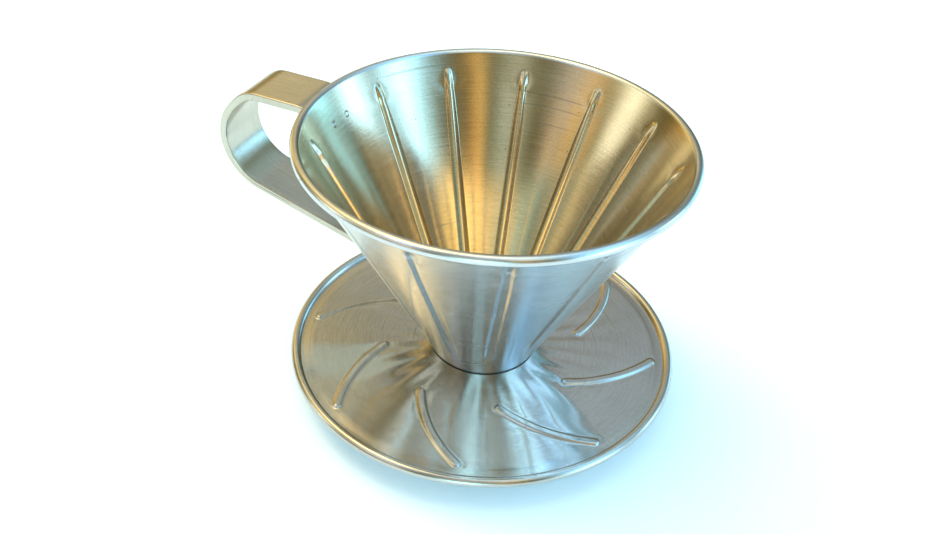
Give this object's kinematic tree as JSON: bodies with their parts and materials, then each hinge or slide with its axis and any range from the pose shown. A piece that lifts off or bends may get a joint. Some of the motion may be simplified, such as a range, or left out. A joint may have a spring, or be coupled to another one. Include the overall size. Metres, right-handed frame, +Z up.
{
  "type": "pour over coffee dripper",
  "caption": "Brushed steel pour-over dripper: ribbed cone with a rolled rim and open outlet, welded to a flat ribbed saucer and a looped strap handle.",
  "frame": {"origin": "on the cone's axis at the lower end of the outlet, the lowest point of the dripper", "axes": "+Z up along the cone's axis, handle towards -X"},
  "size_m": [0.1498, 0.1224, 0.085],
  "materials": {
    "drawn_steel": "satin, brushed round the axis",
    "saucer_steel": "satin, brushed round the axis",
    "strap_steel": "satin, brushed along the strap",
    "weld_metal": "dull weld mark"
  },
  "bodies": {
    "root": {"cone": "drawn_steel", "saucer": "saucer_steel", "handle": "strap_steel", "neck_weld": "weld_metal", "handle_upper_spot_welds": "weld_metal", "handle_lower_spot_welds": "weld_metal"}
  },
  "joints": []
}
